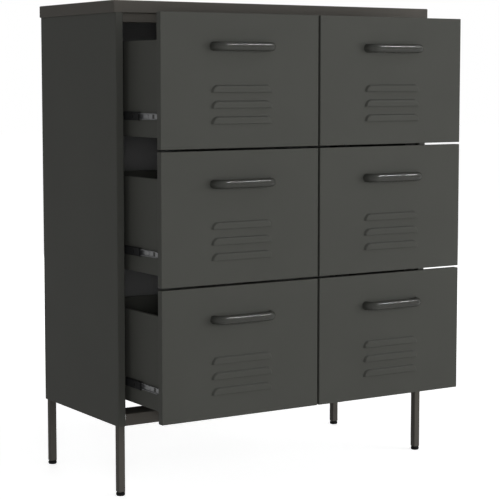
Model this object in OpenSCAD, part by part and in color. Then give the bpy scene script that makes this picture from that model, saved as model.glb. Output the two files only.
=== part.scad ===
// Locker-style chest of six drawers in folded sheet steel, on four square-tube legs.
// Millimetres, +Z up, the drawer fronts face -Y. The origin lies on the floor, under the
// centre of the box that holds the chest with its drawers drawn out as they are stored.

/* [Cabinet] */
// Width across the cap
cabinet_w = 800; // [640:10:1000]
// Depth of the cap, front to back
cabinet_d = 350; // [336:2:450]
// Height from the floor to the top of the cap
cabinet_h = 1015; // [900:5:1200]
// Height of the cap's folded edge
cap_h = 25; // [16:1:40]
// Rounding of the cap's upright corners
cap_corner_r = 3; // [1.5:0.5:8]
// How far the cap stands out over each side panel
cap_overhang = 4; // [1:0.5:8]
// How far the cap stands proud of the body at the front and back
cap_reveal = 0.5; // [0.2:0.1:2]
// Width of the cap's flange underneath, folded inwards
cap_return_w = 22; // [20.5:0.5:40]
// Thickness of the sheet steel
sheet = 0.8; // [0.6:0.1:1.2]
// Width of the upright front flange of each side panel
stile_w = 17; // [12:0.5:24]
// Depth of the lip folded back from that flange
stile_return = 14; // [6:0.5:15]
// Width of the side panels' top and back flanges
flange_w = 20; // [18:0.5:30]
// Height of the bottom front and back rails
rail_h = 25; // [18:1:40]
// Depth of the bottom front rail's top flange
rail_flange = 60; // [50:1:90]
// Depth of the bottom back rail's top flange
back_rail_flange = 25; // [15:1:50]
// Depth of the rails' lower flanges
rail_foot = 12; // [8:0.5:20]
// Height of the recessed top rail
top_rail_h = 18; // [12:1:30]
// Depth of the top rail's upper flange
top_rail_flange = 30; // [20:1:50]
// How far the back panel lies inside the body's back edge
back_recess = 2; // [1.5:0.1:5]

/* [Drawer fronts] */
// Depth of each folded front
front_t = 16; // [12:0.5:17]
// Gap between the two columns of fronts
centre_gap = 5; // [3:0.5:8]
// Gap between a front and the stile beside it
side_gap = 4; // [2.5:0.5:5]
// Gap between the fronts of two rows
row_gap = 4.5; // [3:0.5:10]
// Gap above the top fronts and below the bottom fronts
end_gap = 2.5; // [2:0.5:6]
// Width of the fronts' side lips, behind the flanges
side_lip = 25; // [20:1:40]
// Width of the fronts' top and bottom lips
end_lip = 12; // [6:1:20]

/* [Louvres] */
// Louvres on each front
louvre_count = 3; // [1:1:3]
// Width of a louvre
louvre_w = 144; // [80:2:200]
// Height of a louvre
louvre_h = 15; // [12:0.5:20]
// How far a louvre stands out
louvre_depth = 5; // [3:0.5:8]
// Distance from one louvre to the next
louvre_pitch = 31.3; // [22:0.1:40]
// From the top of the front to the top of the first louvre
louvre_drop = 141.5; // [100:0.5:160]

/* [Handles] */
// Length of a handle
handle_l = 150; // [100:2:200]
// How far a handle stands out from its front
handle_reach = 27; // [22:0.5:40]
// Height of the handle's D section
handle_h = 18; // [14:0.5:24]
// Thickness of the flat behind the D section
handle_flat = 1; // [0.5:0.5:3]
// Outer radius of the handle's bends
handle_bend_r = 25; // [18:0.5:26]
// From the top of the front to the middle of the handle
handle_drop = 66; // [40:0.5:90]

/* [Drawer boxes] */
// Height of a drawer box
box_h = 192; // [100:1:205]
// Length of a drawer box behind its front
box_l = 306; // [302:1:315]
// From the bottom of the front to the bottom of the box
box_lift = 22; // [12:1:34]
// Width of the lip round the top of a box
box_lip = 8; // [3:0.5:12]
// How far the drawers are drawn out as stored
drawer_open = 146; // [20:1:290]

/* [Runners] */
// Length of a runner
runner_l = 300; // [260:5:302]
// Thickness of a runner, from the box wall to its support
runner_t = 10; // [10:0.5:13]
// Height of the fixed member
cabinet_member_h = 22; // [21.5:0.5:30]
// Height of the middle member
middle_member_h = 17; // [16.5:0.1:17.5]
// Height of the member on the drawer
drawer_member_h = 12.5; // [11.5:0.1:12.8]
// Thickness of the outer members' steel
member_web = 1; // [0.8:0.1:1.2]
// How far the runners start behind the front of the closed cabinet
runner_setback = 20; // [18:0.5:24]
// From the bottom of a box to the middle of its runners
runner_lift = 42; // [20:1:80]
// Width of each upright that carries the runners
upright_w = 25; // [18:1:30]
// Thickness of the uprights' steel
upright_t = 1; // [0.8:0.1:1.5]
// How far the front uprights stand behind the front of the cabinet
upright_setback = 24; // [22:0.5:30]
// Thickness of the divider between the columns
divider_t = 1.5; // [1:0.1:2]
// Width of the divider's folded feet
divider_foot = 15; // [10:1:25]

/* [Legs and feet] */
// From the floor to the underside of the body
leg_h = 147; // [100:1:220]
// Width of a leg's square tube
leg_w = 15; // [14:0.5:16]
// Wall of the tube
leg_wall = 1.2; // [1:0.1:2]
// Distance from the side of the body to the leg
leg_inset_side = 3; // [1:0.5:5]
// Distance from the front of the body to the leg
leg_inset_front = 6; // [4:0.5:7]
// Distance from the back of the body to the leg
leg_inset_back = 2.5; // [2.5:0.5:8]
// Width of the plates that tie the legs to the corners
leg_plate_w = 40; // [34:1:50]
// Thickness of those plates
leg_plate_t = 2; // [1.5:0.5:4]
// Radius of the leg stud and the foot stud
stud_r = 3; // [2.5:0.1:3.2]
// Across the flats of the stud's nut
nut_flats = 10; // [9.5:0.5:10.5]
// Height of a levelling foot, screwed right in
foot_h = 8; // [6:0.5:14]
// Radius of a levelling foot
foot_r = 9.5; // [9:0.5:14]

/* [Screws and clearances] */
// Radius of the screws' shanks
screw_r = 2; // [1.5:0.1:2.2]
// Length of the screws below the head
screw_l = 6; // [5:0.5:7]
// Radius of the low screw heads
screw_head_r = 4; // [3:0.1:4.2]
// Height of the low screw heads
screw_head_h = 1; // [0.6:0.1:1]
// Radial clearance of a screw in its hole
screw_gap = 0.1; // [0.05:0.05:0.3]
// Radial clearance of the foot's stud in the leg
stud_gap = 0.06; // [0.04:0.01:0.1]
// Clearance between sliding runner members
slide_gap = 0.35; // [0.25:0.05:0.45]
// Gap between a levelling foot and its leg
foot_gap = 0.3; // [0.2:0.1:1]

/* [Hidden] */
$fn = 48;
ROWS = ["bottom", "middle", "top"];
LAST_ROW = len(ROWS) - 1;
COLUMNS = ["left", "right"];
DRAWER_PIECES = ["front", "box", "handle", "screws", "drawer_runners", "middle_runners", "ball_cages"];
FEET = ["front_left", "front_right", "back_left", "back_right"];

anthracite = "#47494b";
dark_interior = "#323436";
zinc = "#b9bdc1";
dark_steel = "#2a2f31";
black_plastic = "#161616";
tiny = 0.01;                                    // lets cutters pass through a face

// Places along Y: the closed fronts lie flush with the cap's front edge
cap_front_y = -(cabinet_d + cap_reveal - drawer_open - handle_reach) / 2;
cap_back_y = cap_front_y + cabinet_d;
body_front_y = cap_front_y + cap_reveal;
body_back_y = cap_back_y - cap_reveal;
back_panel_y = body_back_y - back_recess - sheet;
front_clearance = 2;                            // behind the closed fronts
rail_y = body_front_y + front_t + front_clearance;
open_front_y = body_front_y - drawer_open;
runner_y = body_front_y + runner_setback;
front_upright_y = body_front_y + upright_setback;
rear_upright_inset = 4;                         // from the runner's rear end to the upright
rear_upright_y = runner_y + runner_l - rear_upright_inset - upright_w;

// Places along X
body_x = cabinet_w / 2 - cap_overhang;
inner_x = body_x - sheet;
opening_x = body_x - stile_w;
flange_x = body_x - flange_w;
front_w = opening_x - side_gap - centre_gap / 2;
drawer_x = (centre_gap + front_w) / 2;          // middle of a front
box_inset = (divider_t - centre_gap) / 2 + runner_t;
box_w = front_w - 2 * box_inset;
upright_x = drawer_x + box_w / 2 + runner_t;
leg_x = body_x - leg_inset_side - leg_w / 2;
front_leg_y = body_front_y + leg_inset_front + leg_w / 2;
back_leg_y = body_back_y - leg_inset_back - leg_w / 2;
plate_edge_gap = 2;                             // from the plates to the body's sheets
divider_edge_gap = 1;                           // from the divider to the top rail and the back

// Heights
body_top = cabinet_h - cap_h;
rail_top = leg_h + rail_h;
front_h = (body_top - rail_top - 2 * end_gap - LAST_ROW * row_gap) / len(ROWS);
function front_z(r) = rail_top + end_gap + r * (front_h + row_gap);
function runner_z(r) = front_z(r) + box_lift + runner_lift;
handle_z = front_h - handle_drop;

// Runner members, with x counted outwards from the box wall
drawer_flange_x = 5;
middle_web_x = 6.8;
middle_web = 0.8;
middle_flange_x = 2;
cabinet_flange_x = 4;
runner_web_x = runner_t - member_web;
tip_slot_y = 18.5;                              // slot behind the drawer member's tip
tip_slot_l = 8;
window_pitch = 50;                              // three windows in the middle member
window_r = 3;
cage_bumper_y = 22;                             // round bumper behind the middle member's end
cage_bumper_r = 6.2;
cage_bumper_bore_r = 3.5;
cage_l = 50;
cage_start_y = 12;
rear_cage_inset = 10;
ball_count = 5;
drawer_screw_inset = 45;                        // from either end of the drawer member

screw_hole_r = screw_r + screw_gap;
plug_h = 6;                                     // solid ends of a leg tube
stud_l = 12;                                    // above the underside of the body
nut_h = 5;
foot_stud_l = 16;
handle_bore_l = 8;
handle_d = handle_flat + handle_h / 2;
louvre_flat = louvre_h - louvre_depth;

// A block given by its lowest and highest corners
module block(low, high) {
    translate(low) cube(high - low);
}

// A plate with round upright corners, centred on the origin
module rounded_plate(w, d, h, r) {
    linear_extrude(h) {
        square([w - 2 * r, d], center = true);
        square([w, d - 2 * r], center = true);
        for (sx = [-1, 1], sy = [-1, 1])
            translate([sx * (w / 2 - r), sy * (d / 2 - r)]) circle(r);
    }
}

// A low-headed screw, head above z = 0 and shank below
module screw() {
    cylinder(r = screw_head_r, h = screw_head_h);
    translate([0, 0, -screw_l]) cylinder(r = screw_r, h = screw_l + tiny);
}

// The hole for a screw, straight through thin sheets
module screw_hole() {
    translate([0, 0, -screw_l]) cylinder(r = screw_hole_r, h = 2 * screw_l);
}

// Mirrors its children to the left side of the cabinet, or leaves them on the right
module on_side(side) {
    mirror([side == "left" ? 1 : 0, 0, 0]) children();
}

// ---- Places of the carcass screws, used by the screws and by their holes ----

cap_screw_x = body_x - flange_w / 2 + sheet;
cap_screw_inset = 70;                           // from the body's front and back
module at_cap_screws() {
    for (side = COLUMNS, y = [body_front_y + cap_screw_inset, (body_front_y + body_back_y) / 2,
                              body_back_y - cap_screw_inset])
        on_side(side) translate([cap_screw_x, y, body_top - sheet]) mirror([0, 0, 1]) children();
}

back_screw_count = 5;
back_screw_margin = 40;                         // from the body's top and bottom
back_screw_step = (body_top - leg_h - 2 * back_screw_margin) / (back_screw_count - 1);
module at_back_screws() {
    for (side = COLUMNS, i = [0 : back_screw_count - 1])
        on_side(side)
            translate([flange_x + flange_w / 2, back_panel_y + sheet,
                       leg_h + back_screw_margin + i * back_screw_step])
                rotate([-90, 0, 0]) children();
}

module at_upright_screws() {
    for (side = COLUMNS, r = [0 : LAST_ROW], y = [front_upright_y, rear_upright_y])
        on_side(side)
            translate([upright_x - member_web, y + upright_w / 2, runner_z(r)])
                rotate([0, -90, 0]) children();
}

// Along the divider, in the middle of its thickness
module at_divider_rivets() {
    for (r = [0 : LAST_ROW], y = [front_upright_y, rear_upright_y])
        translate([0, y + upright_w / 2, runner_z(r)]) rotate([0, 90, 0]) children();
}

module at_legs() {
    for (side = COLUMNS, y = [front_leg_y, back_leg_y])
        on_side(side) translate([leg_x, y, 0]) children();
}

// ---- Carcass ----

module top_cap() {
    color(anthracite) difference() {
        translate([0, (cap_front_y + cap_back_y) / 2, body_top]) difference() {
            rounded_plate(cabinet_w, cabinet_d, cap_h, cap_corner_r);
            translate([0, 0, sheet])
                rounded_plate(cabinet_w - 2 * sheet, cabinet_d - 2 * sheet, cap_h - 2 * sheet,
                              cap_corner_r - sheet);
            translate([-cabinet_w / 2 + cap_return_w, -cabinet_d / 2 + cap_return_w, -tiny])
                cube([cabinet_w - 2 * cap_return_w, cabinet_d - 2 * cap_return_w, 2 * sheet]);
        }
        at_cap_screws() translate([0, 0, -2 * sheet]) cylinder(r = screw_hole_r, h = 3 * sheet);
    }
}

// The right side panel; the left one is its mirror image
module side_panel() {
    difference() {
        union() {
            block([inner_x, body_front_y, leg_h], [body_x, body_back_y, body_top]);
            block([opening_x, body_front_y, leg_h], [body_x, body_front_y + sheet, body_top]);
            block([opening_x, body_front_y, rail_top],
                  [opening_x + sheet, body_front_y + stile_return, body_top]);
            block([flange_x, rail_y + sheet, body_top - sheet], [body_x, back_panel_y, body_top]);
            block([opening_x, body_front_y, leg_h], [body_x, back_panel_y, leg_h + sheet]);
            block([flange_x, back_panel_y - sheet, leg_h], [body_x, back_panel_y, body_top]);
        }
        at_legs() translate([0, 0, leg_h - tiny]) cylinder(r = stud_r + screw_gap, h = 2 * sheet);
        at_cap_screws() translate([0, 0, -2 * sheet]) cylinder(r = screw_hole_r, h = 3 * sheet);
        at_back_screws() screw_hole();
    }
}

module left_side_panel() {
    color(anthracite) on_side("left") side_panel();
}

module right_side_panel() {
    color(anthracite) side_panel();
}

back_panel_gap = 0.2;                           // beside each side panel
module back_panel() {
    back_x = inner_x - back_panel_gap;
    color(anthracite) difference() {
        block([-back_x, back_panel_y, leg_h], [back_x, back_panel_y + sheet, body_top]);
        at_back_screws() screw_hole();
    }
}

module centre_divider() {
    top_rail_back_y = rail_y + top_rail_flange;
    rail_bottom = body_top - top_rail_h;
    foot_x = divider_foot + divider_t / 2;
    color(dark_interior) difference() {
        union() {
            block([-divider_t / 2, rail_y, rail_top], [divider_t / 2, back_panel_y, rail_bottom]);
            block([-divider_t / 2, top_rail_back_y + divider_edge_gap, rail_bottom - tiny],
                  [divider_t / 2, back_panel_y, body_top - sheet]);
            block([-foot_x, rail_y, rail_top],
                  [foot_x, body_front_y + rail_flange - rail_foot, rail_top + divider_t]);
            block([-foot_x, back_panel_y - back_rail_flange, rail_top],
                  [foot_x, back_panel_y - divider_edge_gap, rail_top + divider_t]);
            block([-foot_x, rail_y, rail_bottom - divider_t],
                  [foot_x, top_rail_back_y - rail_foot, rail_bottom]);
        }
        at_divider_rivets() cylinder(r = screw_hole_r, h = 2 * divider_t, center = true);
    }
}

module top_front_rail() {
    rail_bottom = body_top - top_rail_h;
    color(dark_interior) {
        block([-flange_x, rail_y, rail_bottom], [flange_x, rail_y + sheet, body_top]);
        block([-inner_x, rail_y, rail_bottom], [inner_x, rail_y + sheet, body_top - sheet]);
        block([-flange_x, rail_y, body_top - sheet], [flange_x, rail_y + top_rail_flange, body_top]);
        block([-flange_x, rail_y, rail_bottom],
              [flange_x, rail_y + top_rail_flange - rail_foot, rail_bottom + sheet]);
    }
}

module bottom_front_rail() {
    flange_back_y = body_front_y + rail_flange;
    color(anthracite) {
        block([-opening_x, body_front_y, leg_h], [opening_x, body_front_y + sheet, rail_top]);
        block([-flange_x, body_front_y, rail_top - sheet], [flange_x, flange_back_y, rail_top]);
        block([-flange_x, flange_back_y - sheet, rail_top - rail_foot / 2],
              [flange_x, flange_back_y, rail_top]);
        block([-opening_x, body_front_y, leg_h],
              [opening_x, body_front_y + rail_foot, leg_h + sheet]);
    }
}

module bottom_back_rail() {
    color(dark_interior) {
        block([-flange_x, back_panel_y - sheet, leg_h], [flange_x, back_panel_y, rail_top]);
        block([-flange_x, back_panel_y - back_rail_flange, rail_top - sheet],
              [flange_x, back_panel_y, rail_top]);
        block([-flange_x, back_panel_y - rail_foot, leg_h],
              [flange_x, back_panel_y, leg_h + sheet]);
    }
}

// Four channels that carry the outer runners, standing on the leg plates
module side_uprights() {
    foot_z = leg_h + sheet + leg_plate_t;
    color(dark_interior) difference() {
        for (side = COLUMNS, y = [front_upright_y, rear_upright_y]) on_side(side) {
            block([upright_x, y, foot_z], [upright_x + upright_t, y + upright_w, body_top - sheet]);
            block([upright_x, y, foot_z], [inner_x, y + upright_t, body_top - sheet]);
            block([upright_x, y + upright_w - upright_t, foot_z],
                  [inner_x, y + upright_w, body_top - sheet]);
        }
        at_upright_screws() screw_hole();
    }
}

// ---- Runners: channels that lie along Y, with their middle at z = 0 ----

module channel(web_x, web_t, lip_x, h, wall, l) {
    low_x = min(web_x, lip_x);
    high_x = max(web_x + web_t, lip_x);
    block([web_x, 0, -h / 2], [web_x + web_t, l, h / 2]);
    for (side = [0, 1]) mirror([0, 0, side])
        block([low_x, 0, h / 2 - wall], [high_x, l, h / 2]);
}

// Places its children at both box walls of a drawer, x counted outwards from the wall
module both_sides(c) {
    translate([(c == "left" ? -1 : 1) * drawer_x, 0, 0])
        for (side = [0, 1]) mirror([side, 0, 0])
            translate([box_w / 2, 0, 0]) children();
}

module across(y) {
    translate([0, y, 0]) rotate([0, 90, 0]) children();
}

module cabinet_member() {
    difference() {
        channel(runner_web_x, member_web, cabinet_flange_x, cabinet_member_h, member_web, runner_l);
        for (y = [front_upright_y, rear_upright_y])
            across(y + upright_w / 2 - runner_y)
                cylinder(r = screw_hole_r, h = 2 * runner_t);
    }
}

module middle_member() {
    difference() {
        channel(middle_web_x, middle_web, middle_flange_x, middle_member_h, middle_web, runner_l);
        across(cage_bumper_y) cylinder(r = cage_bumper_r + slide_gap, h = 2 * runner_t);
        for (i = [-1 : 1])
            across(runner_l / 2 + i * window_pitch) cylinder(r = window_r, h = 2 * runner_t);
    }
}

module drawer_member() {
    tip_r = drawer_member_h / 2;
    slot_half_h = drawer_member_h / 2 - 2 * member_web;
    difference() {
        union() {
            translate([0, tip_r, 0])
                channel(0, member_web, drawer_flange_x, drawer_member_h, member_web,
                        runner_l - tip_r);
            across(tip_r) cylinder(r = tip_r, h = member_web);
        }
        block([-tiny, tip_slot_y, -slot_half_h],
              [member_web + tiny, tip_slot_y + tip_slot_l, slot_half_h]);
        for (y = [drawer_screw_inset, runner_l - drawer_screw_inset])
            across(y) cylinder(r = screw_hole_r, h = 2 * runner_t, center = true);
    }
}

module cabinet_runners() {
    color(zinc) for (c = COLUMNS, r = [0 : LAST_ROW])
        translate([0, runner_y, runner_z(r)]) both_sides(c) cabinet_member();
}

module drawer_runners(c, r) {
    color(zinc) translate([0, open_front_y + runner_setback, runner_z(r)])
        both_sides(c) drawer_member();
}

module middle_runners(c, r) {
    color(dark_steel) translate([0, runner_y - drawer_open / 2, runner_z(r)])
        both_sides(c) middle_member();
}

// A strip of balls in its cage, along Y, centred on the origin in X and Z
module ball_row(w, h, l) {
    ball_r = h / 2 + slide_gap / 2;
    block([-w / 2, 0, -h / 2], [w / 2, l, h / 2]);
    for (i = [0 : ball_count - 1])
        translate([0, l * (i + 0.5) / ball_count, 0]) sphere(ball_r);
}

// Front cage between the middle and drawer members, with the round bumper in the middle
// member's window, and rear cages between the middle and cabinet members
module ball_cages(c, r) {
    front_low = drawer_member_h / 2 + slide_gap;
    front_high = middle_member_h / 2 - middle_web - slide_gap;
    rear_low = middle_member_h / 2 + slide_gap;
    rear_high = cabinet_member_h / 2 - member_web - slide_gap;
    cage_back_x = drawer_flange_x + slide_gap;
    cage_face_x = middle_web_x - slide_gap;
    arm_w = cage_face_x - middle_flange_x;
    color(black_plastic) translate([0, runner_y - drawer_open / 2, runner_z(r)]) both_sides(c) {
        difference() {
            union() {
                block([cage_back_x, cage_start_y, -front_high],
                      [cage_face_x, cage_start_y + cage_l, front_high]);
                for (side = [0, 1]) mirror([0, 0, side])
                    translate([cage_face_x - arm_w / 2, cage_start_y, (front_low + front_high) / 2])
                        ball_row(arm_w, front_high - front_low, cage_l);
                across(cage_bumper_y) translate([0, 0, cage_back_x])
                    cylinder(r = cage_bumper_r, h = middle_web_x + middle_web - cage_back_x);
            }
            across(cage_bumper_y) cylinder(r = cage_bumper_bore_r, h = 2 * runner_t);
        }
        for (side = [0, 1]) mirror([0, 0, side])
            translate([(cabinet_flange_x + middle_web_x) / 2, runner_l - rear_cage_inset - cage_l,
                       (rear_low + rear_high) / 2])
                ball_row(middle_web_x - cabinet_flange_x, rear_high - rear_low, cage_l);
    }
}

// Screws of the cap, back panel and outer runners, and rivets through the divider
module carcass_fasteners() {
    rivet_half_l = divider_t / 2 + member_web;
    color(zinc) {
        at_cap_screws() screw();
        at_back_screws() screw();
        at_upright_screws() screw();
        at_divider_rivets() {
            cylinder(r = screw_r, h = 2 * rivet_half_l + tiny, center = true);
            for (side = [0, 1]) mirror([0, 0, side])
                translate([0, 0, rivet_half_l]) cylinder(r = screw_head_r, h = screw_head_h);
        }
    }
}

// ---- Legs and feet ----

module leg() {
    difference() {
        union() {
            translate([-leg_w / 2, -leg_w / 2, foot_h]) difference() {
                cube([leg_w, leg_w, leg_h - foot_h]);
                translate([leg_wall, leg_wall, plug_h])
                    cube([leg_w - 2 * leg_wall, leg_w - 2 * leg_wall,
                          leg_h - foot_h - 2 * plug_h]);
            }
            translate([0, 0, leg_h - tiny]) cylinder(r = stud_r, h = stud_l + tiny);
        }
        translate([0, 0, foot_h - tiny]) cylinder(r = stud_r + stud_gap, h = plug_h + 2 * tiny);
    }
}

module legs() {
    color(anthracite) at_legs() leg();
}

module leg_plates() {
    plate_x = body_x - plate_edge_gap;
    front_y = body_front_y + plate_edge_gap;
    back_y = back_panel_y - plate_edge_gap;
    plate_z = leg_h + sheet;
    color(zinc) difference() {
        for (side = COLUMNS) on_side(side) {
            block([plate_x - leg_plate_w, front_y, plate_z],
                  [plate_x, front_y + leg_plate_w, plate_z + leg_plate_t]);
            block([plate_x - leg_plate_w, back_y - leg_plate_w, plate_z],
                  [plate_x, back_y, plate_z + leg_plate_t]);
        }
        at_legs() translate([0, 0, leg_h]) cylinder(r = stud_r + screw_gap, h = stud_l);
    }
}

module leg_nuts() {
    color(zinc) at_legs() translate([0, 0, leg_h + sheet + leg_plate_t]) difference() {
        cylinder(r = nut_flats / sqrt(3), h = nut_h, $fn = 6);
        translate([0, 0, -tiny]) cylinder(r = stud_r + screw_gap, h = nut_h + 2 * tiny);
    }
}

// A black levelling foot with its stud inside the leg
module levelling_foot(side, y) {
    edge_r = 1.5;
    color(black_plastic) on_side(side) translate([leg_x, y, 0]) rotate_extrude() {
        square([foot_r - edge_r, foot_h - foot_gap]);
        translate([0, edge_r]) square([foot_r, foot_h - foot_gap - 2 * edge_r]);
        for (z = [edge_r, foot_h - foot_gap - edge_r])
            translate([foot_r - edge_r, z]) circle(edge_r);
        square([stud_r, foot_h - foot_gap + foot_stud_l]);
    }
}

// ---- Drawers ----

// Places its children in a drawer's own frame: x from the middle of its front,
// y backwards from its face and z up from its lower edge
module in_drawer(c, r) {
    translate([(c == "left" ? -1 : 1) * drawer_x, open_front_y, front_z(r)]) children();
}

// Cross-section of a louvre hood: x up from its lower edge, y outwards, and back behind the face
module louvre_section(depth, back) {
    translate([0, -back]) square([louvre_flat, depth + back]);
    translate([0, -back]) square([louvre_flat + depth, back]);
    translate([louvre_flat, 0]) intersection() {
        circle(depth);
        square([depth, depth]);
    }
}

// A hood as a solid: a straight middle and a quarter turn at each end
module louvre_form(depth, back) {
    straight_l = louvre_w - 2 * louvre_h;
    rotate([180, 0, 0]) rotate([0, 90, 0])
        linear_extrude(straight_l, center = true) louvre_section(depth, back);
    for (side = [0, 1]) mirror([side, 0, 0])
        translate([straight_l / 2, 0, 0]) rotate([90, 0, 0])
            rotate_extrude(angle = 90) louvre_section(depth, back);
}

module at_louvres() {
    for (i = [0 : louvre_count - 1])
        translate([0, 0, front_h - louvre_drop - louvre_h - i * louvre_pitch]) children();
}

handle_foot_x = handle_l / 2 - handle_bend_r;   // middle of the bend
handle_screw_x = handle_l / 2 - handle_d / 2 - handle_flat / 2;
module at_handle_screws() {
    for (sx = [-1, 1]) translate([sx * handle_screw_x, 0, handle_z]) children();
}

front_screw_x = (box_w / 2 + front_w / 2 - side_lip) / 2;
front_screw_margin = 40;                        // from the box's top and bottom
module at_front_screws() {
    for (sx = [-1, 1], z = [box_lift + front_screw_margin, box_lift + box_h - front_screw_margin])
        translate([sx * front_screw_x, front_t, z]) rotate([-90, 0, 0]) children();
}

module drawer_front(c, r) {
    color(anthracite) in_drawer(c, r) difference() {
        union() {
            difference() {
                block([-front_w / 2, 0, 0], [front_w / 2, front_t, front_h]);
                block([-front_w / 2 + sheet, sheet, sheet],
                      [front_w / 2 - sheet, front_t - sheet, front_h - sheet]);
                block([-front_w / 2 + side_lip, sheet, end_lip],
                      [front_w / 2 - side_lip, front_t + tiny, front_h - end_lip]);
            }
            at_louvres() louvre_form(louvre_depth, sheet / 2);
        }
        at_louvres() translate([0, 0, -tiny]) louvre_form(louvre_depth - sheet, 2 * sheet);
        at_handle_screws() rotate([90, 0, 0]) screw_hole();
        at_front_screws() screw_hole();
    }
}

module drawer_box(c, r) {
    low_y = front_t;
    color(anthracite) difference() {
        in_drawer(c, r) difference() {
            block([-box_w / 2, low_y, box_lift], [box_w / 2, low_y + box_l, box_lift + box_h]);
            block([-box_w / 2 + sheet, low_y + sheet, box_lift + sheet],
                  [box_w / 2 - sheet, low_y + box_l - sheet, box_lift + box_h - sheet]);
            block([-box_w / 2 + box_lip, low_y + box_lip, box_lift + sheet],
                  [box_w / 2 - box_lip, low_y + box_l - box_lip, box_lift + box_h + tiny]);
            at_front_screws() screw_hole();
        }
        at_runner_screws(c, r) screw_hole();
    }
}

// At the heads of the screws that hold the drawer members to the box walls
module at_runner_screws(c, r) {
    translate([0, open_front_y + runner_setback, runner_z(r)]) both_sides(c)
        for (y = [drawer_screw_inset, runner_l - drawer_screw_inset])
            translate([member_web, 0, 0]) across(y) children();
}

// Cross-section of the handle: x outwards from its flat back, y up
module handle_section() {
    translate([0, -handle_h / 2]) square([handle_flat, handle_h]);
    translate([handle_flat, 0]) intersection() {
        circle(handle_h / 2);
        translate([0, -handle_h / 2]) square([handle_h / 2, handle_h]);
    }
}

module handle(c, r) {
    leg_l = handle_reach - handle_bend_r;
    inner_r = handle_bend_r - handle_d;
    color(anthracite) in_drawer(c, r) difference() {
        translate([0, 0, handle_z]) {
            translate([0, -leg_l - inner_r, 0]) rotate([-90, 0, -90])
                linear_extrude(2 * handle_foot_x, center = true) handle_section();
            for (side = [0, 1]) mirror([side, 0, 0]) translate([handle_foot_x, 0, 0]) {
                translate([0, -leg_l, 0]) rotate([0, 0, -90])
                    rotate_extrude(angle = 90) translate([inner_r, 0]) handle_section();
                translate([inner_r, 0, 0]) rotate([90, 0, 0])
                    linear_extrude(leg_l) handle_section();
            }
        }
        at_handle_screws() rotate([90, 0, 0])
            translate([0, 0, -tiny]) cylinder(r = screw_hole_r, h = handle_bore_l + tiny);
    }
}

// Screws of the handle, of the front on its box, and of the drawer members
module drawer_screws(c, r) {
    color(zinc) {
        in_drawer(c, r) {
            at_handle_screws() translate([0, sheet, 0]) rotate([-90, 0, 0]) screw();
            at_front_screws() translate([0, 0, sheet]) screw();
        }
        at_runner_screws(c, r) screw();
    }
}

// ---- The nodes ----

top_cap();
left_side_panel();
right_side_panel();
back_panel();
centre_divider();
top_front_rail();
bottom_front_rail();
bottom_back_rail();
side_uprights();
cabinet_runners();
carcass_fasteners();
legs();
leg_plates();
leg_nuts();
levelling_foot("left", front_leg_y);  // foot_front_left
levelling_foot("right", front_leg_y);  // foot_front_right
levelling_foot("left", back_leg_y);  // foot_back_left
levelling_foot("right", back_leg_y);  // foot_back_right
for (r = [0 : LAST_ROW], c = COLUMNS) {
    drawer = str(ROWS[r], "_", c, "_");
    drawer_front(c, r);
    drawer_box(c, r);
    handle(c, r);
    drawer_screws(c, r);
    drawer_runners(c, r);
    middle_runners(c, r);
    ball_cages(c, r);
}
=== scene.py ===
"""The looks of a locker-style steel chest of six drawers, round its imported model. Metres, +Z up."""
import math

import bmesh
import bpy
from mathutils import Matrix, Vector


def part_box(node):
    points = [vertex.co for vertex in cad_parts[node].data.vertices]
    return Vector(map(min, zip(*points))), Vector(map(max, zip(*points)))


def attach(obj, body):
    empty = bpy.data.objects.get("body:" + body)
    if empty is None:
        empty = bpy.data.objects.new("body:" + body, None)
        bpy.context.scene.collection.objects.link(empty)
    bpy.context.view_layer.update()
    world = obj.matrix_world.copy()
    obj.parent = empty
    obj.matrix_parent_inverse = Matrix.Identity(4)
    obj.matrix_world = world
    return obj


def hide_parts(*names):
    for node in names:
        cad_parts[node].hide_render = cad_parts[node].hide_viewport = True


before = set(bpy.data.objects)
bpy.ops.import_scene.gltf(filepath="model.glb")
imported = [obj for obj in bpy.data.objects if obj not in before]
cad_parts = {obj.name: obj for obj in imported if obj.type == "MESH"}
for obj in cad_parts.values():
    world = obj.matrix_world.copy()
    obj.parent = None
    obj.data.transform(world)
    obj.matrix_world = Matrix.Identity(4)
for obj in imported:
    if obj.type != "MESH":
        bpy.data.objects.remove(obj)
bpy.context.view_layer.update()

ROWS = ("bottom", "middle", "top")
COLUMNS = ("left", "right")
DRAWERS = [f"{row}_{column}" for row in ROWS for column in COLUMNS]
FEET = ("front_left", "front_right", "back_left", "back_right")

MM = 0.001
X, Y, Z = range(3)
SHEET = 0.8 * MM                    # thickness of the folded steel
FOLD_R = 1.6 * MM                   # outer radius of its folds
FOLD_STEPS = 3
TRAY_CORNER_STEPS = 2               # at the upright corners of fronts and boxes
CUT_EDGE = 0.15 * MM                # rounding of the sheet's cut edges, under the paint
CUT_ANGLE = math.radians(60)        # a cut edge is sharper than this, and a fold's facets aren't
SHARP_ANGLE = math.radians(38)      # the shading has a crease at edges sharper than this
NEAR = 0.01 * MM                    # how close points are that share a plane
WELD = 0.002 * MM                   # how close points are that become one
FACING = 0.9                        # cosine past which a face counts as looking in a direction
LATHE_STEPS = 48
MIX_A, MIX_B, MIX_RESULT = 6, 7, 2  # the colour sockets of a Mix node


# ---------------------------------------------------------------- materials

def node_group(name, inputs, outputs):
    """An empty shader group with its sockets, and its input and output nodes."""
    group = bpy.data.node_groups.new(name, "ShaderNodeTree")
    for socket, kind, value in inputs:
        made = group.interface.new_socket(name=socket, in_out="INPUT", socket_type=kind)
        made.default_value = value
    for socket, kind in outputs:
        group.interface.new_socket(name=socket, in_out="OUTPUT", socket_type=kind)
    return group, group.nodes.new("NodeGroupInput"), group.nodes.new("NodeGroupOutput")


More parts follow.
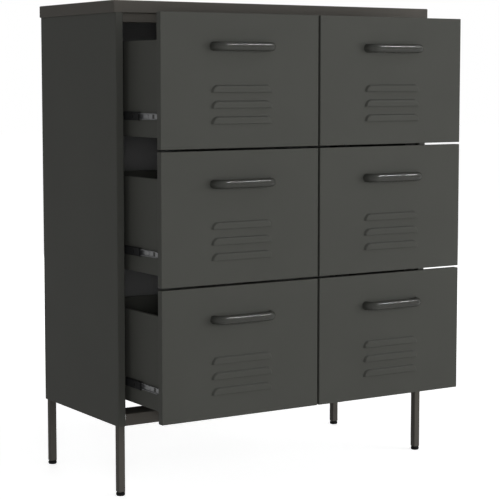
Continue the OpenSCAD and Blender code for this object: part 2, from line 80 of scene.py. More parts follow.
def add(tree, kind, **settings):
    """A node with its properties, and with values for the inputs named by their sockets."""
    node = tree.nodes.new(kind)
    values = settings.pop("values", {})
    for key, value in settings.items():
        setattr(node, key, value)
    for key, value in values.items():
        node.inputs[key].default_value = value
    return node


def feed(tree, socket, value):
    """Links an input to an output, or gives it a constant."""
    if isinstance(value, bpy.types.NodeSocket):
        tree.links.new(value, socket)
    else:
        socket.default_value = value


def noise(tree, place, scale, detail, roughness=0.5):
    node = add(tree, "ShaderNodeTexNoise", values={"Detail": detail, "Roughness": roughness})
    feed(tree, node.inputs["Scale"], scale)
    feed(tree, node.inputs["Vector"], place)
    return node.outputs["Fac"]


def math_node(tree, operation, a, b, clamp=False):
    node = add(tree, "ShaderNodeMath", operation=operation, use_clamp=clamp)
    feed(tree, node.inputs[0], a)
    feed(tree, node.inputs[1], b)
    return node.outputs[0]


def blend(tree, a, b, share):
    """A share of a and the rest of b."""
    return math_node(tree, "ADD", math_node(tree, "MULTIPLY", a, share),
                     math_node(tree, "MULTIPLY", b, 1.0 - share))


def map_range(tree, value, low, high, to_low, to_high):
    """Maps low..high to to_low..to_high, and holds the ends beyond them."""
    node = add(tree, "ShaderNodeMapRange",
               values={"From Min": low, "From Max": high, "To Min": to_low, "To Max": to_high})
    feed(tree, node.inputs["Value"], value)
    return node.outputs["Result"]


def around(tree, pattern, mean, spread):
    """A value that a noise pattern moves up and down about its mean by a spread."""
    return map_range(tree, pattern, low=0.3, high=0.7, to_low=mean - spread,
                     to_high=mean + spread)


def mix_colour(tree, factor, a, b):
    node = add(tree, "ShaderNodeMix", data_type="RGBA")
    feed(tree, node.inputs["Factor"], factor)
    feed(tree, node.inputs[MIX_A], a)
    feed(tree, node.inputs[MIX_B], b)
    return node.outputs[MIX_RESULT]


def make_edge_wear_and_sheen_group():
    """Where corners wear, and where the coats lighten them as a painted highlight: found from the
    rounding that a small bevel would give them.
    """
    group, inside, out = node_group(
        "edge wear and sheen",
        [("Radius", "NodeSocketFloat", 1.2 * MM), ("Breakup Scale", "NodeSocketFloat", 90.0),
         ("Gain", "NodeSocketFloat", 2.2)],
        [("Mask", "NodeSocketFloat"), ("Rounded Normal", "NodeSocketVector")])
    rounded = add(group, "ShaderNodeBevel", samples=4)
    feed(group, rounded.inputs["Radius"], inside.outputs["Radius"])
    surface = add(group, "ShaderNodeNewGeometry")
    dot = add(group, "ShaderNodeVectorMath", operation="DOT_PRODUCT")
    feed(group, dot.inputs[0], rounded.outputs["Normal"])
    feed(group, dot.inputs[1], surface.outputs["Normal"])
    bent = math_node(group, "SUBTRACT", 1.0, dot.outputs["Value"])
    place = add(group, "ShaderNodeTexCoord").outputs["Object"]
    breakup = noise(group, place, inside.outputs["Breakup Scale"], detail=4.0, roughness=0.65)
    patches = map_range(group, breakup, low=0.42, high=0.66, to_low=0.0, to_high=1.0)
    strong = math_node(group, "MULTIPLY", bent, inside.outputs["Gain"], clamp=True)
    feed(group, out.inputs["Mask"], math_node(group, "MULTIPLY", strong, patches, clamp=True))
    feed(group, out.inputs["Rounded Normal"], rounded.outputs["Normal"])
    return group


def make_grain_group():
    """The skin of a coat: orange peel, fine grit and slow changes of shade."""
    group, inside, out = node_group(
        "coat grain",
        [("Peel Scale", "NodeSocketFloat", 520.0), ("Grit Scale", "NodeSocketFloat", 2600.0),
         ("Cloud Scale", "NodeSocketFloat", 7.0)],
        [("Shade", "NodeSocketFloat"), ("Height", "NodeSocketFloat"), ("Grit", "NodeSocketFloat")])
    place = add(group, "ShaderNodeTexCoord").outputs["Object"]
    peel, grit, cloud = (
        noise(group, place, inside.outputs[f"{name} Scale"], detail, roughness=0.55)
        for name, detail in (("Peel", 2.0), ("Grit", 1.0), ("Cloud", 3.0)))
    feed(group, out.inputs["Shade"], blend(group, cloud, grit, share=0.7))
    feed(group, out.inputs["Height"], blend(group, peel, grit, share=0.8))
    feed(group, out.inputs["Grit"], grit)
    return group


EDGE_WEAR_AND_SHEEN = make_edge_wear_and_sheen_group()
COAT_GRAIN = make_grain_group()


def use_group(tree, group, **values):
    """A group's node, with its inputs given by their names."""
    node = tree.nodes.new("ShaderNodeGroup")
    node.node_tree = group
    for key, value in values.items():
        node.inputs[key.replace("_", " ")].default_value = value
    return node


def bumped(tree, height, depth, strength, normal=None):
    """The normal with a relief on it. normal is given where small edges are rounded by it."""
    bump = add(tree, "ShaderNodeBump", values={"Distance": depth, "Strength": strength})
    feed(tree, bump.inputs["Height"], height)
    if normal:
        feed(tree, bump.inputs["Normal"], normal)
    return bump.outputs["Normal"]


NEUTRAL = (1.0, 1.0, 1.0)
OLIVE = (0.985, 1.0, 0.90)
UMBER = (1.07, 1.0, 0.89)
BLUISH = (0.98, 1.0, 1.02)


def tinted(value, tint=NEUTRAL):
    """A linear colour: a grey value and its tint."""
    return tuple(value * part for part in tint) + (1.0,)


def new_material(name):
    material = bpy.data.materials.new(name)
    material.use_nodes = True
    return material, material.node_tree, material.node_tree.nodes["Principled BSDF"]


def baked_coat(name, shade, tint, roughness=0.55, gloss=0.04, peel=0.05 * MM, worn_and_sheen=1.5,
               even=False):
    """Baked powder or lacquer on steel. peel is the depth of its orange peel, and worn_and_sheen is
    the shade of a corner over the coat's: lighter partly from wear, partly as a painted highlight
    along corners. An even coat keeps the sharp sheen of a curved surface."""
    clouding, rub, relief = 0.1, 0.5, 0.6
    spread = 0.01 if even else 0.05
    material, tree, shader = new_material(name)
    grain = use_group(tree, COAT_GRAIN)
    wear = use_group(tree, EDGE_WEAR_AND_SHEEN)
    rounded = None if even else wear.outputs["Rounded Normal"]
    colour = mix_colour(tree, grain.outputs["Shade"], tinted(shade * (1 - clouding), tint),
                        tinted(shade * (1 + clouding), tint))
    # Lighter corners: partly wear, partly a painted highlight along the corners
    rubbed_and_sheen = math_node(tree, "MULTIPLY", wear.outputs["Mask"], rub)
    feed(tree, shader.inputs["Base Color"],
         mix_colour(tree, rubbed_and_sheen, colour, tinted(shade * worn_and_sheen, tint)))
    feed(tree, shader.inputs["Roughness"],
         around(tree, grain.outputs["Grit"], roughness, spread))
    feed(tree, shader.inputs["Normal"],
         bumped(tree, grain.outputs["Height"], peel, relief, rounded))
    shader.inputs["Specular IOR Level"].default_value = gloss
    return material


def plated_steel(name, shade, roughness, spangle, metallic=1.0, gloss=0.5):
    """Zinc-plated or blackened steel, with the faint crystals and draw marks of strip steel.
    spangle is the share of the crystals in its tone."""
    crystal_scale, mark_scale = 260.0, (900.0, 12.0, 900.0)
    dull, bright = shade * 0.72, shade * 1.25
    smoothest, roughest = roughness - 0.06, roughness + 0.08
    mark_depth, relief = 0.03 * MM, 0.5
    material, tree, shader = new_material(name)
    place = add(tree, "ShaderNodeTexCoord").outputs["Object"]
    crystals = add(tree, "ShaderNodeTexVoronoi", values={"Scale": crystal_scale})
    feed(tree, crystals.inputs["Vector"], place)
    cells = add(tree, "ShaderNodeSeparateColor")
    feed(tree, cells.inputs["Color"], crystals.outputs["Color"])
    stretched = add(tree, "ShaderNodeMapping", values={"Scale": mark_scale})
    feed(tree, stretched.inputs["Vector"], place)
    marks = noise(tree, stretched.outputs["Vector"], scale=1.0, detail=3.0)
    tone = blend(tree, cells.outputs["Red"], marks, spangle)
    wear = use_group(tree, EDGE_WEAR_AND_SHEEN, Radius=0.4 * MM)
    feed(tree, shader.inputs["Base Color"],
         mix_colour(tree, tone, tinted(dull, BLUISH), tinted(bright, BLUISH)))
    feed(tree, shader.inputs["Roughness"],
         map_range(tree, tone, low=0.2, high=0.8, to_low=smoothest, to_high=roughest))
    feed(tree, shader.inputs["Normal"],
         bumped(tree, marks, mark_depth, relief, wear.outputs["Rounded Normal"]))
    shader.inputs["Metallic"].default_value = metallic
    shader.inputs["Specular IOR Level"].default_value = gloss
    return material


def moulded_plastic(name, shade, roughness, gloss):
    """Black moulded plastic with a fine spark texture."""
    dull, bright, scuffed = shade * 0.8, shade * 1.25, shade * 2.5
    rub, spread, spark_depth, relief = 0.4, 0.06, 0.04 * MM, 0.6
    material, tree, shader = new_material(name)
    grain = use_group(tree, COAT_GRAIN, Peel_Scale=1800.0, Grit_Scale=4200.0, Cloud_Scale=30.0)
    wear = use_group(tree, EDGE_WEAR_AND_SHEEN, Radius=0.8 * MM)
    colour = mix_colour(tree, grain.outputs["Shade"], tinted(dull), tinted(bright))
    scuffs = math_node(tree, "MULTIPLY", wear.outputs["Mask"], rub)
    feed(tree, shader.inputs["Base Color"], mix_colour(tree, scuffs, colour, tinted(scuffed)))
    feed(tree, shader.inputs["Roughness"],
         around(tree, grain.outputs["Grit"], roughness, spread))
    feed(tree, shader.inputs["Normal"],
         bumped(tree, grain.outputs["Height"], spark_depth, relief,
                wear.outputs["Rounded Normal"]))
    shader.inputs["Specular IOR Level"].default_value = gloss
    return material


# The finish of each slot, and the warmer coat that the cap, the rails and the legs have. That
# coat is also painted lighter than the body's: painted light that stands in for light on those parts
FINISHES = {
    "powder_coat": baked_coat("anthracite powder coat", shade=0.056, tint=OLIVE),
    "warm_coat_painted_lighter": baked_coat("warmer powder coat painted lighter", shade=0.067, tint=UMBER),
    # The inner coat is painted about three times lighter than the outer coat: painted light that
    # lifts the shaded inside of the body
    "inner_coat": baked_coat("inner powder coat painted lighter", shade=0.165, tint=NEUTRAL, roughness=0.60),
    "handle_lacquer": baked_coat("handle lacquer", shade=0.040, tint=OLIVE, roughness=0.12,
                                 gloss=0.10, peel=0.002 * MM, worn_and_sheen=1.1, even=True),
    # The zinc of the runners is kept dark: dull zinc, with a painted shade for the dark surroundings
    # it reflects inside the body
    "zinc_steel": plated_steel("zinc-plated strip", shade=0.10, roughness=0.34, spangle=0.5,
                               metallic=0.4),
    "dark_steel": plated_steel("blackened strip", shade=0.011, roughness=0.42, spangle=0.2,
                               metallic=0.0, gloss=0.02),
    "black_plastic": moulded_plastic("black plastic", shade=0.007, roughness=0.45, gloss=0.05),
    "fasteners": plated_steel("zinc-plated screws", shade=0.14, roughness=0.30, spangle=0.3),
}


# ---------------------------------------------------------------- shaping

def finish_piece(name, shape, slot, body, node, finish=None):
    """Turns a bmesh into a piece that rides on a body and stands for a CAD node."""
    bmesh.ops.remove_doubles(shape, verts=shape.verts, dist=WELD)
    mesh = bpy.data.meshes.new(name)
    shape.to_mesh(mesh)
    shape.free()
    mesh.shade_smooth()
    mesh.set_sharp_from_angle(angle=SHARP_ANGLE)
    mesh.materials.append(FINISHES[finish or slot])
    piece = bpy.data.objects.new(name, mesh)
    bpy.context.scene.collection.objects.link(piece)
    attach(piece, body)
    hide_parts(node)
    return piece


def even_shading(piece):
    piece.modifiers.new("flat faces stay flat", "WEIGHTED_NORMAL").keep_sharp = True


def thicken(piece, thickness=SHEET):
    """Gives a sheet its thickness, inwards from the outer skin, and softens its cut edges."""
    wall = piece.modifiers.new("sheet", "SOLIDIFY")
    wall.thickness = thickness
    wall.offset = -1
    wall.use_even_offset = True
    edge = piece.modifiers.new("cut edges", "BEVEL")
    edge.width = CUT_EDGE
    edge.segments = 1
    edge.limit_method = "ANGLE"
    edge.angle_limit = CUT_ANGLE
    even_shading(piece)


def on_plane(element, axis, level):
    """True for an edge or a face that lies in the plane across an axis at a level."""
    return all(abs(vert.co[axis] - level) < NEAR for vert in element.verts)


def edges_on(shape, axis, level):
    return [edge for edge in shape.edges if on_plane(edge, axis, level)]


def edges_along(shape, axis):
    """The edges that run along an axis for more than the size of a fold."""
    return [edge for edge in shape.edges
            if abs(edge.verts[0].co[axis] - edge.verts[1].co[axis]) > FOLD_R]


def rim_of(shape):
    return [edge for edge in shape.edges if edge.is_boundary]


def round_edges(shape, edges, radius, steps=FOLD_STEPS):
    bmesh.ops.bevel(shape, geom=edges, offset=radius, offset_type="OFFSET", segments=steps,
                    profile=0.5, affect="EDGES", clamp_overlap=True, material=-1)


def cut_across(shape, axis, level, only=None, clear_outer=False):
    """Cuts a shape, or only some of its edges, where a plane across an axis meets it."""
    way = Vector((0, 0, 0))
    way[axis] = 1
    geom = shape.verts[:] + shape.edges[:] + shape.faces[:] if only is None else only
    bmesh.ops.bisect_plane(shape, geom=geom, plane_co=way * level, plane_no=way,
                           clear_outer=clear_outer)


def block(low, high):
    """A box as a bmesh, from its lowest to its highest corner."""
    shape = bmesh.new()
    low, high = Vector(low), Vector(high)
    bmesh.ops.create_cube(shape, size=1.0)
    bmesh.ops.scale(shape, vec=high - low, verts=shape.verts)
    bmesh.ops.translate(shape, vec=(high + low) / 2, verts=shape.verts)
    return shape


def drop_faces(shape, direction):
    """Takes away the faces of a block that look in a direction."""
    gone = [face for face in shape.faces if face.normal.dot(Vector(direction)) > FACING]
    bmesh.ops.delete(shape, geom=gone, context="FACES")


def fold_in(shape, rim, centre, inward, along=(0, 0, 0)):
    """Extrudes a rim, moves it towards a centre by a width along each axis, and gives the new
    rim."""
    made = bmesh.ops.extrude_edge_only(shape, edges=rim)["geom"]
    verts = {item for item in made if isinstance(item, bmesh.types.BMVert)}
    for vert in verts:
        offset = vert.co - Vector(centre)
        step = [-math.copysign(width, way) for width, way in zip(inward, offset)]
        vert.co += Vector(step) + Vector(along)
    return [item for item in made if isinstance(item, bmesh.types.BMEdge)
            and item.is_boundary and verts.issuperset(item.verts)]


def drawn_out(shape, edges, step):
    """Extrudes a chain of edges by a step, and gives the chain at the far end."""
    made = bmesh.ops.extrude_edge_only(shape, edges=edges)["geom"]
    verts = {item for item in made if isinstance(item, bmesh.types.BMVert)}
    bmesh.ops.translate(shape, verts=list(verts), vec=step)
    return [item for item in made
            if isinstance(item, bmesh.types.BMEdge) and verts.issuperset(item.verts)]


def turned(shape, edges, centre, axis, angle, steps):
    """Spins a chain of edges about a line, and gives the chain at the far end."""
    verts = list(dict.fromkeys(vert for edge in edges for vert in edge.verts))
    last = bmesh.ops.spin(shape, geom=verts + edges, cent=centre, axis=axis, dvec=(0, 0, 0),
                          angle=angle, steps=steps, use_merge=False)["geom_last"]
    return [item for item in last if isinstance(item, bmesh.types.BMEdge)]


# A point from its place (a, b) in an outline and its place s along the axis
PLACES = {X: lambda a, b, s: Vector((s, a, b)), Y: lambda a, b, s: Vector((a, s, b)),
          Z: lambda a, b, s: Vector((a, b, s))}


def folded_strip(shape, outline, axis, start, stop, outward, fold_r=FOLD_R):
    """A folded sheet: its outline, seen along an axis, drawn out from start to stop.
    Its largest faces look outward, and the metal lies behind them."""
    place = PLACES[axis]
    verts = [shape.verts.new(place(a, b, start)) for a, b in outline]
    edges = [shape.edges.new(pair) for pair in zip(verts, verts[1:])]
    made = bmesh.ops.extrude_edge_only(shape, edges=edges)["geom"]
    ends = [item for item in made if isinstance(item, bmesh.types.BMVert)]
    faces = [item for item in made if isinstance(item, bmesh.types.BMFace)]
    bmesh.ops.translate(shape, verts=ends, vec=place(0, 0, stop - start))
    shape.normal_update()
    if sum(face.normal.dot(Vector(outward)) * face.calc_area() for face in faces) < 0:
        bmesh.ops.reverse_faces(shape, faces=faces)
    folds = [edge for edge in dict.fromkeys(edge for face in faces for edge in face.edges)
             if len(edge.link_faces) == 2]
    if folds:
        round_edges(shape, folds, fold_r)


def lathe(outline, centre, steps=LATHE_STEPS):
    """Turns an outline of (radius, height) points about an upright line."""
    shape = bmesh.new()
    verts = [shape.verts.new((radius, 0, height)) for radius, height in outline]
    edges = [shape.edges.new(pair) for pair in zip(verts, verts[1:])]
    bmesh.ops.spin(shape, geom=verts + edges, cent=(0, 0, 0), axis=(0, 0, 1), dvec=(0, 0, 0),
                   angle=math.tau, steps=steps, use_merge=True)
    bmesh.ops.remove_doubles(shape, verts=shape.verts, dist=WELD)
    bmesh.ops.recalc_face_normals(shape, faces=shape.faces)
    bmesh.ops.translate(shape, vec=centre, verts=shape.verts)
    return shape


def join(shape, part):
    """Adds one bmesh to another and frees it."""
    mesh = bpy.data.meshes.new("part")
    part.to_mesh(mesh)
    part.free()
    shape.from_mesh(mesh)
    bpy.data.meshes.remove(mesh)


def solids_of(node):
    """The separate solids of a CAD node, each as a list of its points."""
    shape = bmesh.new()
    shape.from_mesh(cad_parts[node].data)
    bmesh.ops.remove_doubles(shape, verts=shape.verts, dist=WELD)
    solids, seen = [], set()
    for seed in shape.verts:
        if seed in seen:
            continue
        seen.add(seed)
        solid = [seed]
        for vert in solid:              # the list grows until the solid is whole
            for edge in vert.link_edges:
                other = edge.other_vert(vert)
                if other not in seen:
                    seen.add(other)
                    solid.append(other)
        solids.append([vert.co.copy() for vert in solid])
    shape.free()
    return solids


def corners(points):
    """(lowest corner, highest corner) of a list of points."""
    return (Vector([min(point[axis] for point in points) for axis in (X, Y, Z)]),
            Vector([max(point[axis] for point in points) for axis in (X, Y, Z)]))


# ---------------------------------------------------------------- carcass

BODY_LOW, BODY_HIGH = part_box("right_side_panel")
CAP_LOW, CAP_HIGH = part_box("top_cap")
RAIL_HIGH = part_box("bottom_front_rail")[1]
BODY_X, BODY_TOP, BODY_BOTTOM = BODY_HIGH.x, BODY_HIGH.z, BODY_LOW.z
BODY_FRONT, BODY_BACK = BODY_LOW.y, BODY_HIGH.y
OPENING_X, RAIL_TOP = RAIL_HIGH.x, RAIL_HIGH.z
BACK_PANEL_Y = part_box("back_panel")[0].y
FLANGE_W = 20 * MM                  # of the side panels' flanges at their top and back
TOP_FLANGE_SETBACK = 40 * MM        # of the top flange, from the front of the body
STILE_RETURN = 14 * MM              # the stile's fold into the opening
RAIL_FOOT = 12 * MM                 # the bottom rail's fold underneath
RAIL_RETURN = 6 * MM                # the fold behind its top flange
CAP_RETURN_W = 22 * MM              # the cap's edge, folded in underneath
CAP_CORNER_R, CAP_CORNER_STEPS = 3 * MM, 5


def make_cap():
    """The cap: a tray of sheet turned over, with its edge folded in underneath."""
    shape = block(CAP_LOW, CAP_HIGH)
    drop_faces(shape, (0, 0, -1))
    round_edges(shape, edges_along(shape, Z), CAP_CORNER_R, CAP_CORNER_STEPS)
    round_edges(shape, edges_on(shape, Z, CAP_HIGH.z), FOLD_R)
    rim = rim_of(shape)
    fold_in(shape, rim, (CAP_LOW + CAP_HIGH) / 2, (CAP_RETURN_W, CAP_RETURN_W, 0))
    round_edges(shape, rim, FOLD_R)
    thicken(finish_piece("cap", shape, "powder_coat", "cabinet", "top_cap", "warm_coat_painted_lighter"))


def make_side_panel(side):
    """A side panel, folded round into the stile beside the drawers, with its flanges."""
    way = -1 if side == "left" else 1
    body_x, inner_x = way * BODY_X, way * (BODY_X - SHEET)
    flange_x, opening_x = way * (BODY_X - FLANGE_W), way * OPENING_X
    skin = [(opening_x, BODY_FRONT + STILE_RETURN), (opening_x, BODY_FRONT),
            (body_x, BODY_FRONT), (body_x, BODY_BACK)]
    shape = bmesh.new()
    folded_strip(shape, skin, Z, BODY_BOTTOM, BODY_TOP, (way, 0, 0))
    folded_strip(shape, [(flange_x, BODY_TOP), (inner_x, BODY_TOP)], Y,
                 BODY_FRONT + TOP_FLANGE_SETBACK, BACK_PANEL_Y, (0, 0, 1))
    folded_strip(shape, [(opening_x + way * SHEET, BODY_BOTTOM), (inner_x, BODY_BOTTOM)], Y,
                 BODY_FRONT + SHEET, BACK_PANEL_Y, (0, 0, -1))
    folded_strip(shape, [(flange_x, BACK_PANEL_Y), (inner_x, BACK_PANEL_Y)], Z,
                 BODY_BOTTOM + SHEET, BODY_TOP - SHEET, (0, 1, 0))
    thicken(finish_piece(f"{side}_side", shape, "powder_coat", "cabinet", f"{side}_side_panel"))


def make_bottom_rail():
    """The front rail under the drawers, with its deep top flange. Behind its face it narrows
    to the side panels' flanges."""
    outline = [(BODY_FRONT + RAIL_FOOT, BODY_BOTTOM), (BODY_FRONT, BODY_BOTTOM),
               (BODY_FRONT, RAIL_TOP), (RAIL_HIGH.y, RAIL_TOP),
               (RAIL_HIGH.y, RAIL_TOP - RAIL_RETURN)]
    shape = bmesh.new()
    folded_strip(shape, outline, X, -OPENING_X, OPENING_X, (0, -1, 0))
    for vert in shape.verts:
        if vert.co.y > BODY_FRONT + 2 * FOLD_R:
            vert.co.x = math.copysign(BODY_X - FLANGE_W, vert.co.x)
    thicken(finish_piece("front_rail", shape, "powder_coat", "cabinet", "bottom_front_rail",
                         "warm_coat_painted_lighter"))


def make_back_panel():
    """The back: a flat sheet with softened edges, with the inner coat on its inside, painted lighter
    to lift the shade there.
    """
    shape = block(*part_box("back_panel"))
    round_edges(shape, shape.edges[:], CUT_EDGE, steps=1)
    back = finish_piece("back_sheet", shape, "powder_coat", "cabinet", "back_panel")
    back.data.materials.append(FINISHES["inner_coat"])
    for face in back.data.polygons:
        face.material_index = int(face.normal.y < -FACING)
    even_shading(back)


make_cap()
make_back_panel()
for side in COLUMNS:
    make_side_panel(side)
make_bottom_rail()


# ---------------------------------------------------------------- legs and feet

LEG_CORNER_R, LEG_CORNER_STEPS = 1.5 * MM, 4
LEG_END_R, LEG_END_STEPS = 0.75 * MM, 2    # at the lower end
STUD_R, STUD_SIDES = 3 * MM, 24
STUD_TIP = 0.5 * MM                 # chamfer of the stud's tip
FOOT_GAP = 0.3 * MM                 # between a foot and the end of its leg
# The underside's edge: distance inwards from the foot's widest radius, and height
SOLE_EDGE = [(2.2 * MM, 0), (1.9 * MM, 0.25 * MM), (1.2 * MM, 0.3 * MM)]
BULGE_DEPTH, BULGE_STEPS = 1.6 * MM, 9
BULGE_MARGIN = 0.6 * MM             # from the foot's underside and top to its bulge
SHOULDER = 2.6 * MM                 # from the widest radius inwards to the flat top


def make_legs():
    """Four square tubes with rounded corners, each with its stud on top."""
    shape = bmesh.new()
    for points in solids_of("legs"):
        low, high = corners(points)
        tube = block(low, (high.x, high.y, BODY_BOTTOM))
        round_edges(tube, edges_along(tube, Z), LEG_CORNER_R, LEG_CORNER_STEPS)
        round_edges(tube, edges_on(tube, Z, low.z), LEG_END_R, LEG_END_STEPS)
        centre = Vector(((low.x + high.x) / 2, (low.y + high.y) / 2, (high.z + BODY_BOTTOM) / 2))
        bmesh.ops.create_cone(tube, cap_ends=True, segments=STUD_SIDES, radius1=STUD_R,
                              radius2=STUD_R, depth=high.z - BODY_BOTTOM,
                              matrix=Matrix.Translation(centre))
        join(shape, tube)
    even_shading(finish_piece("leg_tubes", shape, "powder_coat", "cabinet", "legs", "warm_coat_painted_lighter"))


def make_foot(place):
    """A turned plastic foot with a bulging rim, on the stud that screws into its leg."""
    low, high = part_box(f"foot_{place}")
    radius = (high.x - low.x) / 2
    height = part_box("legs")[0].z - FOOT_GAP
    outline = [(0, 0)] + [(radius - inset, rise) for inset, rise in SOLE_EDGE]
    for step in range(BULGE_STEPS + 1):
        turn = math.pi * (step / BULGE_STEPS - 0.5)
        outline.append((radius - BULGE_DEPTH * (1 - math.cos(turn)),
                        height / 2 + (height / 2 - BULGE_MARGIN) * math.sin(turn)))
    outline += [(radius - SHOULDER, height), (STUD_R, height), (STUD_R, high.z - STUD_TIP),
                (STUD_R - STUD_TIP, high.z), (0, high.z)]
    shape = lathe(outline, ((low.x + high.x) / 2, (low.y + high.y) / 2, 0))
    finish_piece(f"glide_{place}", shape, "black_plastic", f"foot_{place}", f"foot_{place}")


make_legs()
for place in FEET:
    make_foot(place)


# ---------------------------------------------------------------- drawers

LOUVRE_COUNT = 3
LOUVRE_L = 144 * MM
LOUVRE_H = 15 * MM
LOUVRE_DEPTH = 5 * MM
LOUVRE_PITCH = 31.3 * MM
LOUVRE_DROP = 141.5 * MM            # from the top of a front to the top of its first louvre
LOUVRE_TURN_STEPS = 10
# A hood's section, in shares of its height and depth: the distance above its lower edge, and
# how far it stands out of the face
LOUVRE_SECTION = [(0, 1), (0.60, 1), (0.71, 0.985), (0.79, 0.92), (0.85, 0.78), (0.93, 0.40),
                  (0.975, 0.16), (1.02, 0.04), (1.08, 0)]
HOOD_H = LOUVRE_SECTION[-1][0] * LOUVRE_H
SIDE_LIP, END_LIP = 25 * MM, 12 * MM


def louvre_hood(centre_x, face_y, floor_z):
    """A pressed hood: a straight middle and a quarter turn at each end."""
    shape = bmesh.new()
    half_l = LOUVRE_L / 2 - LOUVRE_H
    verts = [shape.verts.new((centre_x + half_l, face_y - rise * LOUVRE_DEPTH,
                              floor_z + reach * LOUVRE_H)) for reach, rise in LOUVRE_SECTION]
    section = [shape.edges.new(pair) for pair in zip(verts, verts[1:])]
    turned(shape, section, (centre_x + half_l, face_y, floor_z), (0, 1, 0), math.pi / 2,
           LOUVRE_TURN_STEPS)
    section = drawn_out(shape, section, (-2 * half_l, 0, 0))
    turned(shape, section, (centre_x - half_l, face_y, floor_z), (0, 1, 0), -math.pi / 2,
           LOUVRE_TURN_STEPS)
    bmesh.ops.remove_doubles(shape, verts=shape.verts, dist=WELD)
    return shape


def press_louvres(shape, centre_x, face_y, floors):
    """Opens the flat of a front above each floor, and joins a hood into the opening."""
    end_x = LOUVRE_L / 2 - LOUVRE_H + HOOD_H
    for floor_z in floors:
        cut_across(shape, Z, floor_z)
        for x in (centre_x - end_x, centre_x + end_x):
            line = [edge for edge in edges_on(shape, Y, face_y) if on_plane(edge, Z, floor_z)]
            cut_across(shape, X, x, only=line)
        join(shape, louvre_hood(centre_x, face_y, floor_z))
    bmesh.ops.remove_doubles(shape, verts=shape.verts, dist=WELD)
    bands = [face for face in shape.faces if on_plane(face, Y, face_y)]
    bands.sort(key=lambda face: face.calc_center_median().z, reverse=True)
    for band, floor_z in zip(bands, floors):
        hood = [edge for edge in edges_on(shape, Y, face_y) if edge.is_boundary
                and all(-NEAR < vert.co.z - floor_z < HOOD_H + NEAR for vert in edge.verts)]
        sill = [edge for edge in band.edges if on_plane(edge, Z, floor_z)
                and all(abs(vert.co.x - centre_x) < end_x + NEAR for vert in edge.verts)]
        ring = [edge for edge in dict.fromkeys([*band.edges, *hood]) if edge not in sill]
        bmesh.ops.delete(shape, geom=[band], context="FACES_ONLY")
        bmesh.ops.contextual_create(shape, geom=ring)


def make_front(drawer):
    """A folded tray of sheet with three pressed louvres."""
    low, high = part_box(f"{drawer}_front")
    face_y, centre = low.y + LOUVRE_DEPTH, (low + high) / 2
    shape = block((low.x, face_y, low.z), high)
    drop_faces(shape, (0, 1, 0))
    round_edges(shape, edges_along(shape, Y), SHEET, TRAY_CORNER_STEPS)
    round_edges(shape, edges_on(shape, Y, face_y), FOLD_R)
    back_rim = rim_of(shape)
    fold_in(shape, back_rim, centre, (SIDE_LIP, 0, END_LIP))
    round_edges(shape, back_rim, FOLD_R)
    first_floor = high.z - LOUVRE_DROP - LOUVRE_H
    press_louvres(shape, centre.x, face_y,
                  [first_floor - index * LOUVRE_PITCH for index in range(LOUVRE_COUNT)])
    bmesh.ops.recalc_face_normals(shape, faces=shape.faces)
    if max(shape.faces, key=lambda face: face.calc_area()).normal.y > 0:
        bmesh.ops.reverse_faces(shape, faces=shape.faces)
    thicken(finish_piece(f"{drawer}_face", shape, "powder_coat", f"{drawer}_drawer",
                         f"{drawer}_front"))


BOX_LIP = 8 * MM
BOX_HEM = 3 * MM


def make_box(drawer):
    """A tray of sheet with a lip folded inwards round its top, and a hem folded down."""
    low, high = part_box(f"{drawer}_box")
    centre = (low + high) / 2
    shape = block(low, high)
    drop_faces(shape, (0, 0, 1))
    round_edges(shape, edges_along(shape, Z), SHEET, TRAY_CORNER_STEPS)
    round_edges(shape, edges_on(shape, Z, low.z), FOLD_R)
    rim = rim_of(shape)
    lip = fold_in(shape, rim, centre, (BOX_LIP, BOX_LIP, 0))
    fold_in(shape, lip, centre, (0, 0, 0), along=(0, 0, -BOX_HEM))
    round_edges(shape, rim + lip, FOLD_R)
    thicken(finish_piece(f"{drawer}_tray", shape, "powder_coat", f"{drawer}_drawer",
                         f"{drawer}_box"))


HANDLE_FLAT = 1 * MM                # behind the half circle of the D section
HANDLE_BEND_R = 25 * MM             # outer radius of the bends
HANDLE_SIDES = 56
HANDLE_TURN_STEPS = 14


def make_handle(drawer):
    """A bow handle: a D section drawn out of one foot, round two bends and into the other."""
    low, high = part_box(f"{drawer}_handle")
    centre, face_y = (low + high) / 2, high.y
    radius = (high.z - low.z) / 2
    foot_l = high.y - low.y - HANDLE_BEND_R
    bend_x = (high.x - low.x) / 2 - HANDLE_BEND_R
    bend = {"axis": (0, 0, 1), "angle": -math.pi / 2, "steps": HANDLE_TURN_STEPS}
    shape = bmesh.new()
    bmesh.ops.create_circle(shape, segments=HANDLE_SIDES, radius=radius,
                            matrix=Matrix.Rotation(math.pi / 2, 4, "X"))
    for vert in shape.verts:
        if vert.co.x < 0:
            vert.co.x = -HANDLE_FLAT * math.sqrt(-vert.co.x / radius)
    bmesh.ops.translate(shape, verts=shape.verts, vec=(high.x - radius, face_y, centre.z))
    ring = drawn_out(shape, shape.edges[:], (0, -foot_l, 0))
    ring = turned(shape, ring, (centre.x + bend_x, face_y - foot_l, 0), **bend)
    ring = drawn_out(shape, ring, (-2 * bend_x, 0, 0))
    ring = turned(shape, ring, (centre.x - bend_x, face_y - foot_l, 0), **bend)
    drawn_out(shape, ring, (0, foot_l, 0))
    bmesh.ops.holes_fill(shape, edges=rim_of(shape), sides=0)
    bmesh.ops.recalc_face_normals(shape, faces=shape.faces)
    even_shading(finish_piece(f"{drawer}_grip", shape, "handle_lacquer", f"{drawer}_drawer",
                              f"{drawer}_handle"))


# ---------------------------------------------------------------- runners

